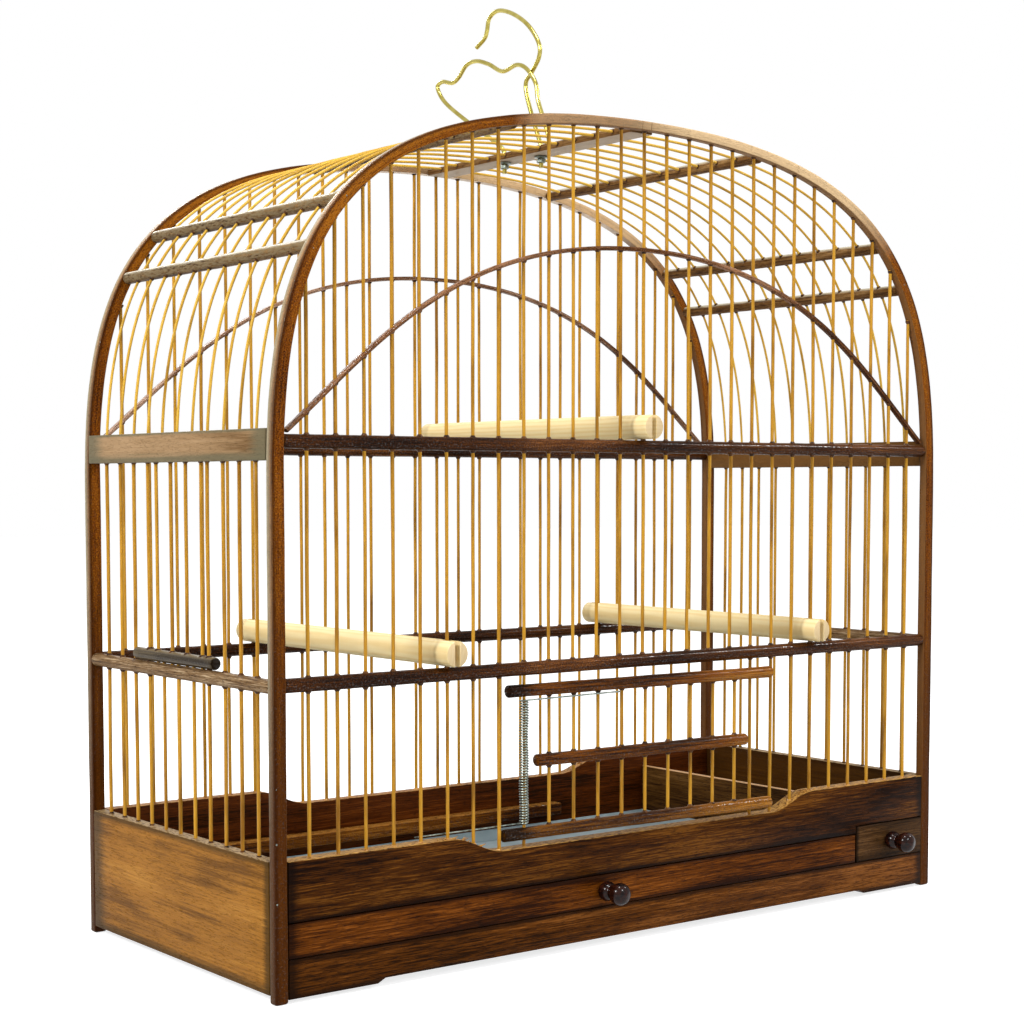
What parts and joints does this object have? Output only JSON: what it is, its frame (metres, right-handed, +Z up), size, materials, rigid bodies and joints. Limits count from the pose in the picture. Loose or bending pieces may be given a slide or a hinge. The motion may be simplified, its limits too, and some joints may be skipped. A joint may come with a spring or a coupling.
{
  "type": "arched bird cage",
  "caption": "Arched wooden bird cage with cane bars, front-to-back perches, a pull-out seed tray, a small drawer, a sprung front door and a lifting side door, on four feet or a hook.",
  "frame": {"origin": "on the floor under the middle of the whole cage, knobs and perch ends included", "axes": "+X to the right and -Y to the front as one faces the drawers, +Z up"},
  "size_m": [0.42, 0.2018, 0.4726],
  "materials": {
    "varnished_hoop": "glossy red-brown varnish",
    "plank": "satin varnish on brown planks",
    "small_front": "darker satin varnish",
    "side_plank": "thin varnish on lighter wood",
    "grille": "amber varnished cane bars in very dark varnished rails",
    "cane": "amber varnished cane",
    "pine": "bare pale pine",
    "knob": "near-black glossy varnish",
    "zinc": "dull zinc plating",
    "tray_metal": "dull galvanised sheet",
    "brass_wire": "bright yellow brass plating"
  },
  "bodies": {
    "cage": {"front_hoop": "varnished_hoop", "rear_hoop": "varnished_hoop", "front_sill": "plank", "rear_sill": "plank", "front_bottom_rail": "plank", "rear_batten": "plank", "left_panel": "side_plank", "right_panel": "side_plank", "left_upper_plank": "side_plank", "right_upper_plank": "side_plank", "left_runner": "side_plank", "right_runner": "side_plank", "centre_runner": "side_plank", "partition": "side_plank", "ridge_board": "side_plank", "front_mid_rail": "grille", "rear_mid_rail": "grille", "left_mid_rail": "grille", "right_mid_rail": "grille", "front_upper_rail": "grille", "rear_upper_rail": "grille", "front_inner_arch": "grille", "rear_inner_arch": "grille", "left_eave_rod": "grille", "right_eave_rod": "grille", "left_shoulder_rod": "grille", "right_shoulder_rod": "grille", "left_crown_rod": "grille", "right_crown_rod": "grille", "hinge_bar": "cane", "door_spring": "zinc", "handle_washer": "zinc", "handle_nut": "zinc", "hook_washer": "zinc", "hook_nut": "zinc", "carrying_handle": "brass_wire", "hanging_hook": "brass_wire"},
    "front_door": {"door_top_rod": "grille", "door_mid_rod": "grille", "door_bottom_rod": "grille"},
    "side_door": {"side_door": "grille"},
    "main_drawer": {"main_drawer_front": "plank", "seed_tray": "tray_metal", "main_drawer_knob": "knob"},
    "small_drawer": {"small_drawer_front": "small_front", "small_drawer_box": "side_plank", "small_drawer_knob": "knob"},
    "left_perch": {"left_perch": "pine"},
    "right_perch": {"right_perch": "pine"},
    "upper_perch": {"upper_perch": "pine"}
  },
  "joints": [
    {"name": "front_door_hinge", "type": "hinge", "parent": "cage", "child": "front_door", "pos_m": [-0.07335, -0.0808, 0.094], "axis": [0, 0, -1], "range_deg": [0, 110], "stiffness_Nm_per_rad": 0.004, "springref_deg": -34.38, "deforming": ["door_spring"]},
    {"name": "side_door_slide", "type": "slide", "parent": "cage", "child": "side_door", "axis": [0, 0, 1], "range_m": [0, 0.075]},
    {"name": "main_drawer_slide", "type": "slide", "parent": "cage", "child": "main_drawer", "axis": [0, -1, 0], "range_m": [0, 0.15]},
    {"name": "small_drawer_slide", "type": "slide", "parent": "cage", "child": "small_drawer", "axis": [0, -1, 0], "range_m": [0, 0.15]},
    {"name": "left_perch_lift", "type": "slide", "parent": "cage", "child": "left_perch", "axis": [0, 0, 1], "range_m": [0, 0.084]},
    {"name": "right_perch_lift", "type": "slide", "parent": "cage", "child": "right_perch", "axis": [0, 0, 1], "range_m": [0, 0.084]},
    {"name": "upper_perch_lift", "type": "slide", "parent": "cage", "child": "upper_perch", "axis": [0, 0, 1], "range_m": [0, 0.075]}
  ]
}
